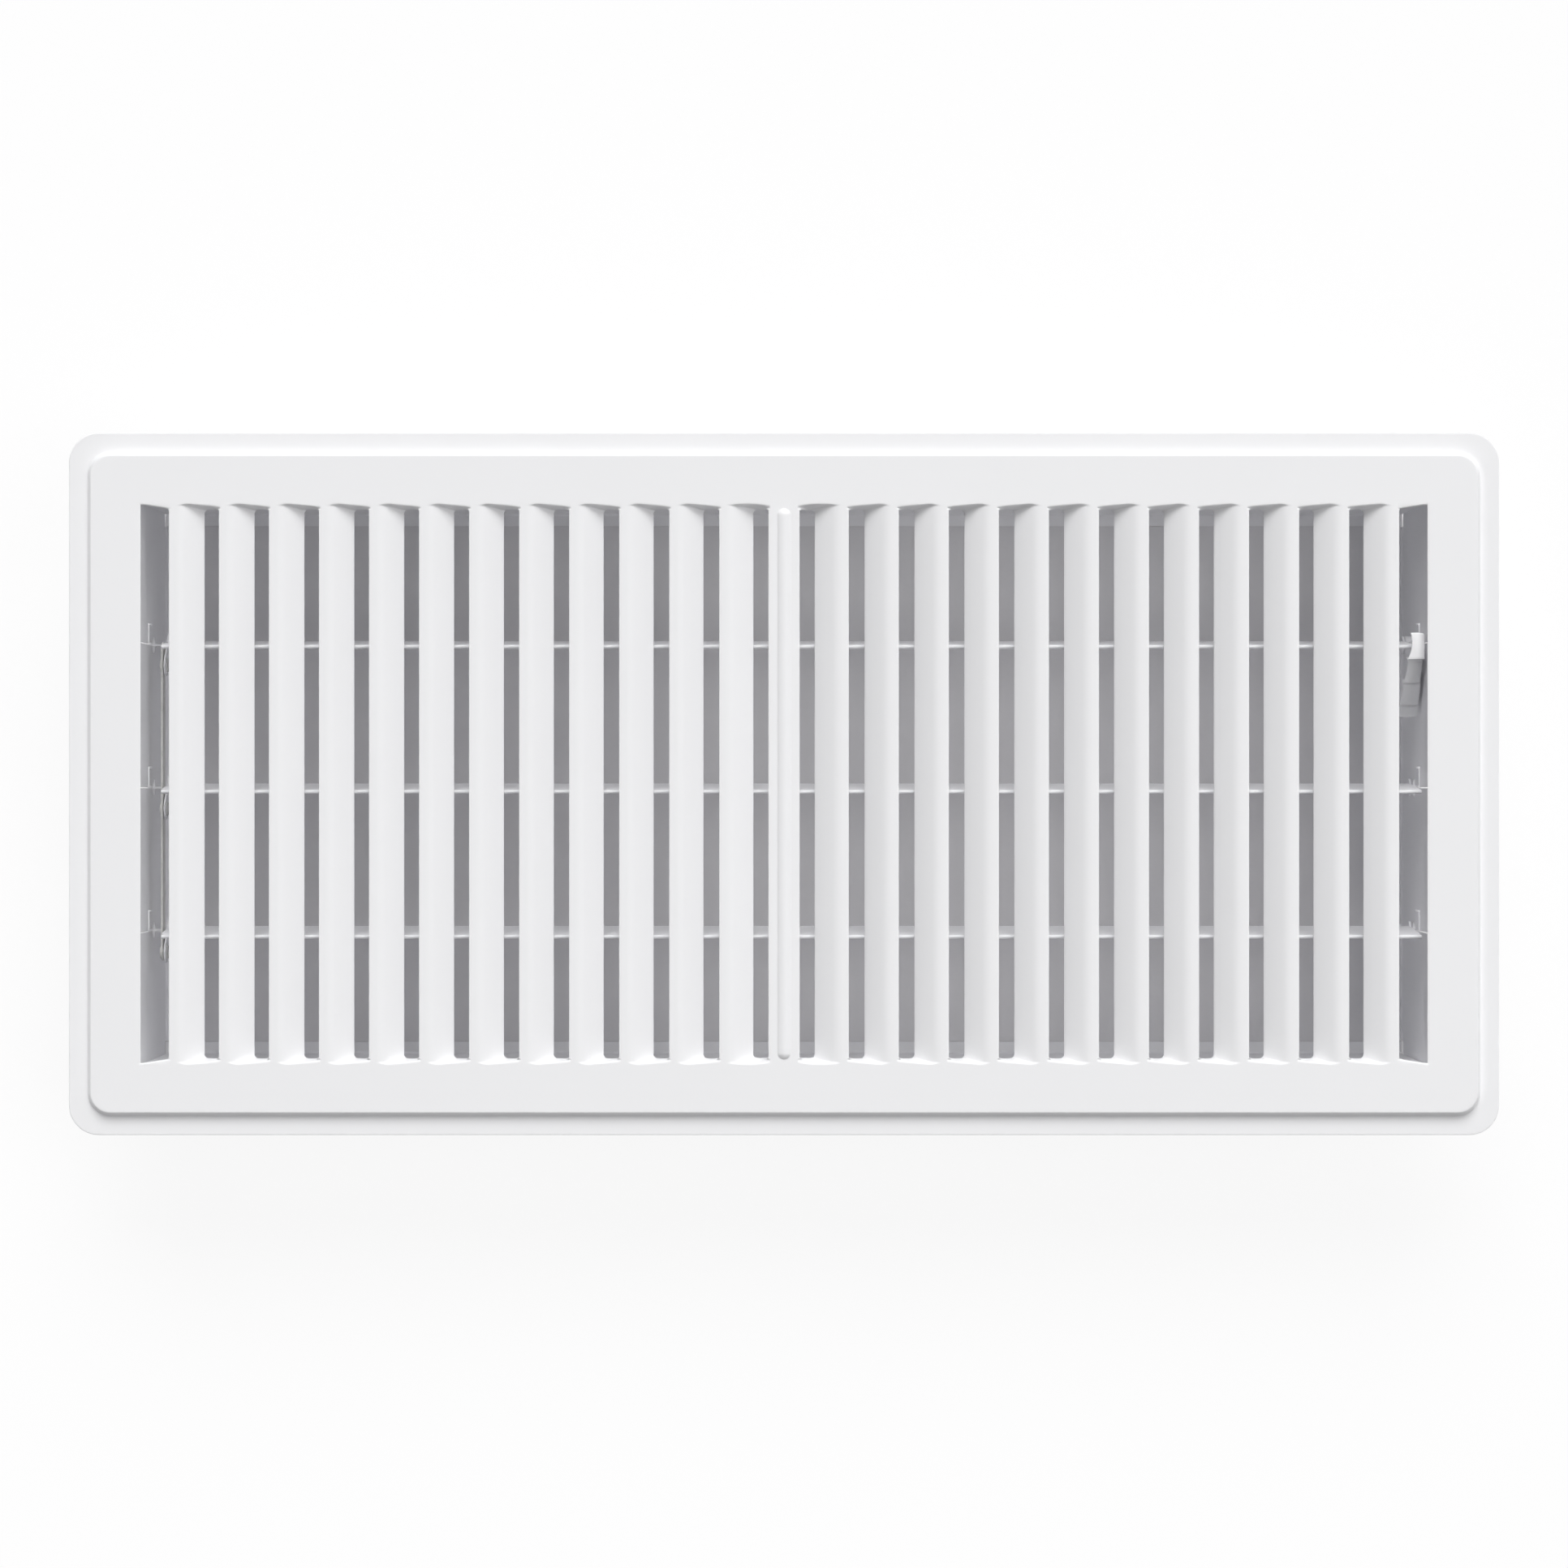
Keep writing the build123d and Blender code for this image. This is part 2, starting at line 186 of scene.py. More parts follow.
def face_height(x, y):
    """Height of the louvre field above the panel's level, negative where it dips."""
    across = np.abs(x)
    along = np.abs(y)
    louvre = louvre_at(across)
    u = flush_edges[louvre] - across
    spacing = np.where(louvre == 0, first_edge - strip_half_width, pitch)
    tear = tear_slope * np.maximum(spacing - u, 0.0)
    section = np.minimum(section_drop(np.maximum(u, 0.0)), tear)
    in_slot = np.minimum(across - last_edge, field_half_length - across)
    section = np.where(across > last_edge, tear_slope * np.maximum(in_slot, 0.0), section)
    wall = fold_drop(np.maximum(fold_line(across) - along, 0.0))
    lower = np.minimum(section, wall)
    blend = crease_blend * np.clip(lower / full_blend_drop, least_blend, 1.0)
    smooth = np.maximum(blend - np.abs(section - wall), 0.0) ** 2 / (4.0 * blend)
    ends = smoothstep((fold_peak_y - along) / edge_roll_fade)
    return bead_rise(x, y) - (lower - smooth) - edge_roll(across) * ends


def face_normal(x, y):
    """Unit normals of the louvre field, by central differences."""
    step = 0.02 * MM
    slope_x = (face_height(x + step, y) - face_height(x - step, y)) / (2 * step)
    slope_y = (face_height(x, y + step) - face_height(x, y - step)) / (2 * step)
    normal = np.stack([-slope_x, -slope_y, np.ones_like(slope_x)], axis=-1)
    return normal / np.linalg.norm(normal, axis=-1, keepdims=True)


# Columns of the grid: distances from the centre line, from a louvre's flush edge and from the end slot,
# how many columns divide a louvre's slope, its bend, a gap and an end slot, and the share of a corner's
# shift that the second column of a slope takes
strip_columns = np.array(
    [0.0, 0.3, 0.6, 0.85, 1.1, 1.3, 1.5, 1.65, 1.78, 1.9, 2.03, 2.6, 3.28, 3.55, 3.8]
) * MM
land_columns = np.array([1.3, 0.9, 0.6, 0.35]) * MM
border_columns = np.array([0.4, 0.65, 0.95, 1.6, 2.8]) * MM
slope_count = 9
bend_count = 6
gap_count = 3
end_slot_count = 7
second_shift = 0.45


def gap_columns(low, high, count, hole):
    """Evenly spaced columns inside an open gap."""
    return [(low + (high - low) * index / (count + 1), 0.0, hole) for index in range(1, count + 1)]


def louvre_columns(edge):
    """Columns over one louvre, from its free to its flush edge, with the corner shift at a hole's end."""
    slope_u = np.linspace(louvre_run - edge_radius * math.cos(louvre_angle), bend_end, slope_count)
    bend_u = np.linspace(bend_end, louvre_land, bend_count)[1:]
    section_u = np.concatenate([slope_u, bend_u, land_columns, [edge_radius]])
    shifts = np.zeros(len(section_u))
    shifts[0] = -slope_corner
    shifts[1] = -second_shift * slope_corner
    shifts[-1] = flush_corner
    return [(edge - u, shift, -1) for u, shift in zip(section_u, shifts)]


def column_plan():
    """Columns of the right half from the centre out: plan x, corner shift at a hole's end, hole number."""
    columns = [(x, 0.0, -1) for x in strip_columns]
    low = strip_half_width - edge_radius
    columns.append((low, flush_corner, -1))
    for number, edge in enumerate(flush_edges):
        columns += gap_columns(low + flush_corner, edge - louvre_run - slope_corner, gap_count, number)
        columns += louvre_columns(edge)
        low = edge - edge_radius
    high = field_half_length + edge_radius
    columns += gap_columns(low + flush_corner, high - slot_corner, end_slot_count, louvre_count)
    columns.append((high, -slot_corner, -1))
    columns += [(field_half_length + x, 0.0, -1) for x in border_columns]
    return columns


def hole_end(x):
    """Y where the hole under |x| ends: straight over the louvres, slanted over the end slots."""
    slant = slot_line(np.maximum(x, last_edge)) - slot_lip
    slot_share = smoothstep((x - last_edge + flush_corner) / flush_corner)
    return lip_y + (slant - lip_y) * slot_share


def corner_shift(shift, depth):
    """How far a border column moves into the hole at a distance depth from the hole's end."""
    radius = abs(shift)
    if radius == 0.0 or depth >= radius:
        return 0.0
    inside = radius - max(depth, 0.0)
    return math.copysign(radius - math.sqrt(max(radius**2 - inside**2, 0.0)), shift)


# Rows of the grid: distances from the hole's end, positive into the hole, then plain y in the middle.
# The rows follow the hole's end near it, and are straight from band_reach on.
band_rows = np.array(
    [4.55, 3.4, 2.5, 2.15, 1.95, 1.75, 1.55, 1.35, 1.15, 0.95, 0.75, 0.55, 0.37, 0.18, 0.0]
) * -MM
inner_rows = np.array(
    [0.06, 0.12, 0.2, 0.3, 0.45, 0.6, 0.8, 1.0, 1.25, 1.5, 1.75, 2.0, 2.3, 2.7, 3.5, 5.5]
) * MM
middle_rows = np.array([50.0, 25.0]) * MM
band_reach = 4.5 * MM


def build_grid():
    """Plan positions of the whole grid, and which columns are open."""
    right = column_plan()
    columns = [(-x, -shift, hole) for x, shift, hole in reversed(right[1:])] + right
    end_rows = np.concatenate([band_rows, inner_rows])
    half = len(end_rows) + len(middle_rows)
    x = np.zeros((2 * half + 1, len(columns)))
    y = np.zeros_like(x)
    for j, (plan_x, shift, hole) in enumerate(columns):
        end = float(hole_end(np.array(abs(plan_x))))
        places = []
        for depth in end_rows:
            straight = float(smoothstep(abs(depth) / band_reach))
            places.append((plan_x + corner_shift(shift, depth), end + (lip_y - end) * straight - depth))
        places += [(plan_x, row_y) for row_y in middle_rows]
        for i, (row_x, row_y) in enumerate(places):
            x[i, j] = row_x
            y[i, j] = row_y
            x[2 * half - i, j] = row_x
            y[2 * half - i, j] = -row_y
        x[half, j] = plan_x
    open_columns = np.array([hole >= 0 for plan_x, shift, hole in columns])
    return x, y, open_columns, len(band_rows) - 1


# Rings around the field: steps in each corner, points along the step's bends, flat margins beside them,
# and the grid's columns and rows that the rings' sides are tied to
corner_steps = 12
step_top_points = 8
step_foot_points = 6
step_margin = 0.25 * MM
panel_margin = 1.2 * MM
side_start = 12
side_stride = 21
side_row = 8


def ring_points(half_x, half_y, corner, side_x, side_y):
    """A rounded rectangle, counter-clockwise from the right end of its far side."""
    turns = [math.pi / 2 * step / corner_steps for step in range(corner_steps + 1)]
    inner_x = half_x - corner
    inner_y = half_y - corner
    points = [(x, half_y) for x in side_x[::-1]]
    points += [(-inner_x - corner * math.sin(turn), inner_y + corner * math.cos(turn)) for turn in turns]
    points += [(-half_x, y) for y in side_y]
    points += [(-inner_x - corner * math.cos(turn), -inner_y - corner * math.sin(turn)) for turn in turns]
    points += [(x, -half_y) for x in side_x]
    points += [(inner_x + corner * math.sin(turn), -inner_y - corner * math.cos(turn)) for turn in turns]
    points += [(half_x, y) for y in side_y[::-1]]
    points += [(inner_x + corner * math.cos(turn), inner_y + corner * math.sin(turn)) for turn in turns]
    return np.array(points)


def step_profile():
    """The pressed step, from the panel out: (inset from the rim's edge, drop, normal tilt)."""
    slope = math.atan2(step_rise, step_run)
    top_start = rim_land + step_run + step_top_radius * math.tan(slope / 2)
    foot_end = rim_land - step_foot_radius * math.tan(slope / 2)
    profile = [(top_start + panel_margin, 0.0, 0.0), (top_start + step_margin, 0.0, 0.0)]
    for angle in np.linspace(0.0, slope, step_top_points):
        inset = top_start - step_top_radius * math.sin(angle)
        profile.append((inset, step_top_radius * (1 - math.cos(angle)), angle))
    for angle in np.linspace(slope, 0.0, step_foot_points):
        inset = foot_end + step_foot_radius * math.sin(angle)
        profile.append((inset, step_rise - step_foot_radius * (1 - math.cos(angle)), angle))
    profile.append((foot_end - step_margin, step_rise, 0.0))
    profile.append((edge_radius + step_margin, step_rise, 0.0))
    profile.append((edge_radius, step_rise, 0.0))
    return profile


def ring_corner(inset):
    """Plan corner radius of the ring that lies at an inset from the rim's edge."""
    if inset < rim_land:
        return step_corner + (rim_corner - step_corner) * (rim_land - inset) / rim_land
    return step_corner - min(inset - rim_land, step_run)


def link_piece(name, mesh):
    """A new piece in the scene, made of a mesh."""
    piece = bpy.data.objects.new(name, mesh)
    bpy.context.scene.collection.objects.link(piece)
    return piece


# Turns of a cut edge's rounding, in degrees: from the top face to the edge, and from there to the bottom
top_turns = (30, 60, 90)
bottom_turns = (90, 45)


class SheetMesh:
    """A thin sheet: a top surface, the same one thickness below, and rounded cut edges between them."""

    def __init__(self):
        self.top = []
        self.normal = []
        self.faces = []
        self.loops = []

    def add(self, points, normals):
        """Adds points of the top surface with their normals, and gives the number of the first."""
        start = len(self.top)
        self.top.extend(map(tuple, points))
        self.normal.extend(map(tuple, normals))
        return start

    def build(self, name, thickness, radius):
        """Makes the piece, with its two surfaces and its cut edges."""
        top = np.array(self.top)
        normal = np.array(self.normal)
        bottom = top - normal * thickness
        count = len(top)
        verts = [tuple(point) for point in np.concatenate([top, bottom])]
        faces = list(self.faces)
        faces += [tuple(count + index for index in reversed(face)) for face in self.faces]
        for loop, outer in self.loops:
            self.close_edge(verts, faces, np.array(loop), top, bottom, normal, radius, outer)
        mesh = bpy.data.meshes.new(name)
        mesh.from_pydata(verts, [], faces)
        mesh.validate()
        mesh.update()
        mesh.shade_smooth()
        return link_piece(name, mesh)

    @staticmethod
    def close_edge(verts, faces, loop, top, bottom, normal, radius, outer):
        """Rounds the cut edge along a loop that runs counter-clockwise seen from above."""
        up = normal[loop]
        along = np.roll(top[loop], -1, axis=0) - np.roll(top[loop], 1, axis=0)
        out = np.cross(along, up) if outer else np.cross(up, along)
        out /= np.linalg.norm(out, axis=1, keepdims=True)
        rings = [list(loop)]
        for base, side, angles in ((top[loop], -1, top_turns), (bottom[loop], 1, bottom_turns)):
            for angle in np.radians(angles):
                start = len(verts)
                lift = side * radius * (1 - math.cos(angle))
                verts.extend(map(tuple, base + out * radius * math.sin(angle) + up * lift))
                rings.append(list(range(start, start + len(loop))))
        rings.append([len(top) + index for index in loop])
        for upper, lower in zip(rings, rings[1:]):
            for k in range(len(upper)):
                after = (k + 1) % len(upper)
                quad = (upper[k], lower[k], lower[after], upper[after])
                faces.append(quad if outer else quad[::-1])


def add_holes(sheet_mesh, index, open_columns, first_open):
    """Adds the loops of points around the field's open gaps."""
    row_count, column_count = index.shape
    last_open = row_count - 1 - first_open
    starts = [j for j in range(1, column_count) if open_columns[j] and not open_columns[j - 1]]
    stops = [j for j in range(1, column_count) if open_columns[j - 1] and not open_columns[j]]
    for start, high in zip(starts, stops):
        low = start - 1
        loop = [index[last_open, k] for k in range(low, high + 1)]
        loop += [index[i, high] for i in range(last_open - 1, first_open - 1, -1)]
        loop += [index[first_open, k] for k in range(high - 1, low - 1, -1)]
        loop += [index[i, low] for i in range(first_open + 1, last_open)]
        sheet_mesh.loops.append(([int(k) for k in loop], False))


def add_field(sheet_mesh):
    """Adds the louvre field's grid, and gives the grid's plan and its point numbers."""
    x, y, open_columns, first_open = build_grid()
    row_count, column_count = x.shape
    z = panel_top + face_height(x, y)
    last_open = row_count - 1 - first_open
    rows = np.arange(row_count)
    inside_rows = (rows > first_open) & (rows < last_open)
    keep = ~(inside_rows[:, None] & open_columns[None, :])
    index = np.full(x.shape, -1, dtype=int)
    index[keep] = np.arange(keep.sum())
    sheet_mesh.add(np.stack([x, y, z], axis=-1)[keep], face_normal(x, y)[keep])
    for i in range(row_count - 1):
        for j in range(column_count - 1):
            inside = first_open <= i < last_open
            if inside and (open_columns[j] or open_columns[j + 1]):
                continue
            cell = (index[i, j], index[i + 1, j], index[i + 1, j + 1], index[i, j + 1])
            sheet_mesh.faces.append(tuple(int(k) for k in cell))
    add_holes(sheet_mesh, index, open_columns, first_open)
    return x, y, index


def add_border(sheet_mesh, side_x, side_y):
    """Adds the pressed step and the rim as rings, and gives the innermost ring."""
    rings = []
    for inset, drop, tilt in step_profile():
        corner = ring_corner(inset)
        points = ring_points(half_length - inset, half_width - inset, corner, side_x, side_y)
        along = np.roll(points, -1, axis=0) - np.roll(points, 1, axis=0)
        out = np.stack([along[:, 1], -along[:, 0]], axis=1)
        out /= np.linalg.norm(out, axis=1, keepdims=True)
        level = np.full((len(points), 1), panel_top - drop)
        normal = np.hstack([out * math.sin(tilt), np.full((len(points), 1), math.cos(tilt))])
        start = sheet_mesh.add(np.hstack([points, level]), normal)
        rings.append(list(range(start, start + len(points))))
    for inner, outer in zip(rings, rings[1:]):
        for k in range(len(inner)):
            after = (k + 1) % len(inner)
            sheet_mesh.faces.append((inner[k], outer[k], outer[after], inner[after]))
    sheet_mesh.loops.append((rings[-1], True))
    return rings[0]


def add_panel(sheet_mesh, ring, sides):
    """Adds the flat panel between the field's grid and the innermost ring."""
    position = 0
    for edge, stops in sides:
        ring_part = ring[position:position + len(stops)]
        for k in range(len(stops) - 1):
            part = edge[stops[k]:stops[k + 1] + 1]
            sheet_mesh.faces.append(tuple([ring_part[k], ring_part[k + 1]] + part[::-1]))
        position += len(stops)
        corner_part = [ring_part[-1]] + ring[position:position + corner_steps + 1]
        position += corner_steps + 1
        corner_part.append(ring[position % len(ring)])
        for k in range(len(corner_part) - 1):
            sheet_mesh.faces.append((corner_part[k], corner_part[k + 1], edge[-1]))


def build_face():
    """The face plate as one pressed sheet."""
    sheet_mesh = SheetMesh()
    x, y, index = add_field(sheet_mesh)
    row_count, column_count = x.shape
    side_columns = [0] + list(range(side_start, column_count - side_start, side_stride)) + [column_count - 1]
    side_rows = [0, side_row, row_count // 2, row_count - 1 - side_row, row_count - 1]
    side_x = [float(x[0, k]) for k in side_columns]
    side_y = [float(y[k, 0]) for k in side_rows]
    ring = add_border(sheet_mesh, side_x, side_y)
    far_edge = [int(k) for k in index[0, ::-1]]
    left_edge = [int(k) for k in index[:, 0]]
    near_edge = [int(k) for k in index[-1, :]]
    right_edge = [int(k) for k in index[::-1, -1]]
    sides = (
        (far_edge, [column_count - 1 - k for k in reversed(side_columns)]),
        (left_edge, side_rows),
        (near_edge, side_columns),
        (right_edge, [row_count - 1 - k for k in reversed(side_rows)]),
    )
    add_panel(sheet_mesh, ring, sides)
    return sheet_mesh.build("face_plate", sheet, edge_radius)


# Thumb lever: the pivot and the outer limits follow the frame
damper_turn = next(joint for joint in frame["joints"] if joint["name"] == "damper_turn")
pivot_y = damper_turn["pos_m"][1]
pivot_z = damper_turn["pos_m"][2]
lever_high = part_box("thumb_lever")[1]
lever_right = lever_high.x
lever_radius = lever_high.z - pivot_z
hub_left = 169.0 * MM
hub_inset = 0.01 * MM
hub_radius = 2.5 * MM
hub_rounding = 0.4 * MM
hub_sides = 48
web = 1.6 * MM
web_inset = 0.6 * MM
web_overlap = 0.7 * MM
web_rounding = 0.2 * MM
web_margin = 0.03
web_points = 17
rim_depth = 2.6 * MM
tongue_slot = (0.6 * MM, 4.3 * MM)
sharp_angle = math.radians(38.0)

# Finger pads: angles at which they begin and end, how far each is stepped down, its left edge at start
# and end, the hollow of that edge, and how far its right edge stays inside the lever's side
pad_lines = np.radians([83.6, 100.8, 121.0, 141.8, 152.5])
pad_drop = np.array([0.0, 0.1, 0.5, 0.9]) * MM
pad_left = np.array([(167.2, 166.4), (166.5, 165.9), (166.0, 165.7), (165.8, 165.5)]) * MM
pad_scallop = np.array([0.3, 0.1, 0.1, 0.05]) * MM
pad_inset = np.array([0.2, 0.5, 0.25, 0.1]) * MM

# The left edge flares and the pad droops towards its end, where it has a small lip. A notch at the start
# of a pad parts it from the one before. Across, a pad is crowned, and its edges and free ends are rounded.
pad_flare = 3.0
pad_droop = 0.2 * MM
droop_power = 3
pad_lip = 0.07 * MM
lip_place = 0.93
lip_width = 0.035
pad_notch = np.array([0.0, 1.5, 0.9, 1.0]) * MM
notch_width = 0.55 * MM
pad_crown = 0.25 * MM
crown_shares = (0.15, 0.3, 0.5, 0.7, 0.85)
pad_edge = 0.35 * MM
edge_turns = np.radians([0, 30, 60, 90])
pad_corner = 0.9 * MM
pad_draft = 0.8 * MM
pad_shares = (0.0, 0.015, 0.035, 0.07, 0.11, 0.2, 0.35, 0.5, 0.65, 0.78, 0.85, 0.89, 0.93, 0.96, 0.985, 1.0)

# The first pad rises towards its end. The others lie on a straight ramp, given by the angle it faces
# and its distance from the pivot.
cap_rise = 0.6 * MM
ramp_angle = math.radians(126.2)
ramp_reach = 21.09 * MM


def rim_reach(number, angle):
    """Distance of the rim's outside from the pivot, before the pads step it down."""
    if number > 0:
        return ramp_reach / math.cos(angle - ramp_angle)
    share = (angle - pad_lines[0]) / (pad_lines[1] - pad_lines[0])
    return lever_radius + cap_rise * (share - 0.5)


def rim_inside(number, angle):
    """Distance of the rim's inside from the pivot."""
    return rim_reach(number, angle) - pad_drop[number] - rim_depth


def around_pivot(reach, angle):
    """Y and z of a point at a distance and an angle from the pivot."""
    return pivot_y + reach * math.cos(angle), pivot_z + reach * math.sin(angle)


def pad_station(number, share):
    """Angle, left edge, right edge and outer radius of a finger pad at a share of its length."""
    start, stop = pad_left[number]
    left = start + (stop - start) * share**pad_flare + pad_scallop[number] * math.sin(math.pi * share)
    sweep = pad_lines[number + 1] - pad_lines[number]
    length = lever_radius * sweep
    angle = pad_lines[number] + sweep * share
    radius = rim_reach(number, angle) - pad_drop[number] - pad_droop * share**droop_power
    radius += pad_lip * math.exp(-(((share - lip_place) / lip_width) ** 2))
    radius -= pad_notch[number] * math.exp(-((share * length / notch_width) ** 2))
    right = lever_right - pad_inset[number]
    # The free ends of the first and last pads are rounded
    if number == 0:
        from_end = length * share
        inside = max(pad_corner - from_end, 0.0)
        right -= pad_corner - math.sqrt(pad_corner**2 - inside**2)
    if number == 0 or number == len(pad_drop) - 1:
        from_end = length * (share if number == 0 else 1.0 - share)
        inside = max(pad_edge - from_end, 0.0)
        radius -= pad_edge - math.sqrt(pad_edge**2 - inside**2)
    return angle, left, right, radius


def pad_section(left, right, radius, inner):
    """Section of the rim across the lever: (x, radius) pairs around its outline."""
    edge = radius - pad_crown
    points = [(left + pad_draft, inner)]
    for turn in edge_turns:
        points.append((left + pad_edge * (1 - math.cos(turn)), edge - pad_edge * (1 - math.sin(turn))))
    for share in crown_shares:
        x = left + pad_edge + (right - left - 2 * pad_edge) * share
        points.append((x, edge + pad_crown * (1 - (2 * share - 1) ** 2)))
    for turn in edge_turns:
        points.append((right - pad_edge * (1 - math.sin(turn)), edge - pad_edge * (1 - math.cos(turn))))
    points.append((right, inner))
    return points


def build_rim():
    """The lever's rim, a run of finger pads that step down from one to the next."""
    rings = bmesh.new()
    last = None
    first_ring = None
    for number in range(len(pad_drop)):
        for share in pad_shares:
            angle, left, right, radius = pad_station(number, share)
            ring = []
            for x, reach in pad_section(left, right, radius, rim_inside(number, angle)):
                ring.append(rings.verts.new((x, *around_pivot(reach, angle))))
            if last is not None:
                for k in range(len(ring)):
                    after = (k + 1) % len(ring)
                    rings.faces.new((last[k], last[after], ring[after], ring[k]))
            else:
                first_ring = ring
            last = ring
    rings.faces.new(first_ring)
    rings.faces.new(last[::-1])
    return rings


# Two points closer than this are at one place
same_place = 1e-7


def build_prism(outline, low_x, high_x, rounding):
    """A plate with a given outline in (y, z), and rounded edges around its two faces."""
    plate = bmesh.new()
    corners = [plate.verts.new((low_x, y, z)) for y, z in outline]
    base = plate.faces.new(corners)
    grown = bmesh.ops.extrude_face_region(plate, geom=[base])
    moved = [item for item in grown["geom"] if isinstance(item, bmesh.types.BMVert)]
    bmesh.ops.translate(plate, verts=moved, vec=(high_x - low_x, 0.0, 0.0))
    if rounding > 0.0:
        rims = [edge for edge in plate.edges if abs(edge.verts[0].co.x - edge.verts[1].co.x) < same_place]
        bmesh.ops.bevel(plate, geom=rims, offset=rounding, segments=2, profile=0.5, affect="EDGES")
    return plate


def finish_solid(name, solid):
    """Makes a piece of a closed mesh, with its normals turned out."""
    bmesh.ops.recalc_face_normals(solid, faces=solid.faces[:])
    mesh = bpy.data.meshes.new(name)
    solid.to_mesh(mesh)
    solid.free()
    return link_piece(name, mesh)


def combine(piece, other, operation):
    """Joins or cuts one closed mesh with another, which is then removed."""
    change = piece.modifiers.new("combine", "BOOLEAN")
    change.operation = operation
    change.solver = "EXACT"
    change.object = other
    graph = bpy.context.evaluated_depsgraph_get()
    mesh = bpy.data.meshes.new_from_object(piece.evaluated_get(graph))
    piece.modifiers.clear()
    piece.data = mesh
    bpy.data.objects.remove(other)


def build_web():
    """The plate that joins the hub to the inside of the rim."""
    outline = [(pivot_y, pivot_z)]
    for share in np.linspace(web_margin, 1.0 - web_margin, web_points):
        angle = pad_lines[0] + (pad_lines[-1] - pad_lines[0]) * share
        number = int(np.searchsorted(pad_lines, angle)) - 1
        outline.append(around_pivot(rim_inside(number, angle) + web_overlap, angle))
    web_right = lever_right - web_inset
    return build_prism(outline, web_right - web, web_right, web_rounding)


def build_hub():
    """The round boss that turns about the pivot."""
    turns = [2 * math.pi * step / hub_sides for step in range(hub_sides)]
    circle = [around_pivot(hub_radius, turn) for turn in turns]
    return build_prism(circle, hub_left, lever_right - hub_inset, hub_rounding)


def build_tongue_slot():
    """The room that the blade's tongue takes up in the hub."""
    slot_y, slot_z = (size / 2 for size in tongue_slot)
    slot = [(-slot_y, -slot_z), (slot_y, -slot_z), (slot_y, slot_z), (-slot_y, slot_z)]
    outline = [(pivot_y + y, pivot_z + z) for y, z in slot]
    return build_prism(outline, hub_left - MM, lever_right + MM, 0.0)


def build_lever():
    """The thumb lever: rim, web and hub moulded in one."""
    lever = finish_solid("lever_moulding", build_rim())
    combine(lever, finish_solid("web", build_web()), "UNION")
    combine(lever, finish_solid("hub", build_hub()), "UNION")
    combine(lever, finish_solid("slot", build_tongue_slot()), "DIFFERENCE")
    lever.data.shade_smooth()
    lever.data.set_sharp_from_angle(angle=sharp_angle)
    return lever


def node(tree, kind, **inputs):
    """A new shader node with values on the named inputs."""
    made = tree.nodes.new(kind)
    for name, value in inputs.items():
        made.inputs[name.replace("_", " ")].default_value = value
    return made


def new_material(name):
    """A new material, its node tree, its shader and the piece's own coordinates."""
    material = bpy.data.materials.new(name)
    material.use_nodes = True
    tree = material.node_tree
    tree.nodes.clear()
    shader = tree.nodes.new("ShaderNodeBsdfPrincipled")
    output = tree.nodes.new("ShaderNodeOutputMaterial")
    tree.links.new(shader.outputs["BSDF"], output.inputs["Surface"])
    place = tree.nodes.new("ShaderNodeTexCoord")
    return material, tree, shader, place.outputs["Object"]


def noise(tree, place, scale, detail):
    made = node(tree, "ShaderNodeTexNoise", Scale=scale, Detail=detail)
    tree.links.new(place, made.inputs["Vector"])
    return made.outputs["Fac"]


def vary_colour(tree, shader, factor, first, second):
    mix = tree.nodes.new("ShaderNodeMix")
    mix.data_type = "RGBA"
    mix.inputs["A"].default_value = (*first, 1.0)
    mix.inputs["B"].default_value = (*second, 1.0)
    tree.links.new(factor, mix.inputs["Factor"])
    tree.links.new(mix.outputs["Result"], shader.inputs["Base Color"])


def vary_roughness(tree, shader, factor, low, high):
    spread = node(tree, "ShaderNodeMapRange", To_Min=low, To_Max=high)
    tree.links.new(factor, spread.inputs["Value"])
    tree.links.new(spread.outputs["Result"], shader.inputs["Roughness"])


def add_bump(tree, shader, height, strength, distance):
    bump = node(tree, "ShaderNodeBump", Strength=strength, Distance=distance)
    tree.links.new(height, bump.inputs["Height"])
    tree.links.new(bump.outputs["Normal"], shader.inputs["Normal"])


def enamel_material():
    """Semi-gloss white powder coat: a fine orange peel, and a tone that wanders slightly."""
    material, tree, shader, place = new_material("white_enamel")
    cloud = noise(tree, place, scale=40.0, detail=3.0)
    vary_colour(tree, shader, cloud, first=(0.895, 0.895, 0.907), second=(0.91, 0.91, 0.922))
    patches = noise(tree, place, scale=260.0, detail=2.0)
    vary_roughness(tree, shader, patches, low=0.44, high=0.54)
    peel = noise(tree, place, scale=900.0, detail=2.0)
    add_bump(tree, shader, peel, strength=0.05, distance=0.2 * MM)
    shader.inputs["Specular IOR Level"].default_value = 0.35
    return material


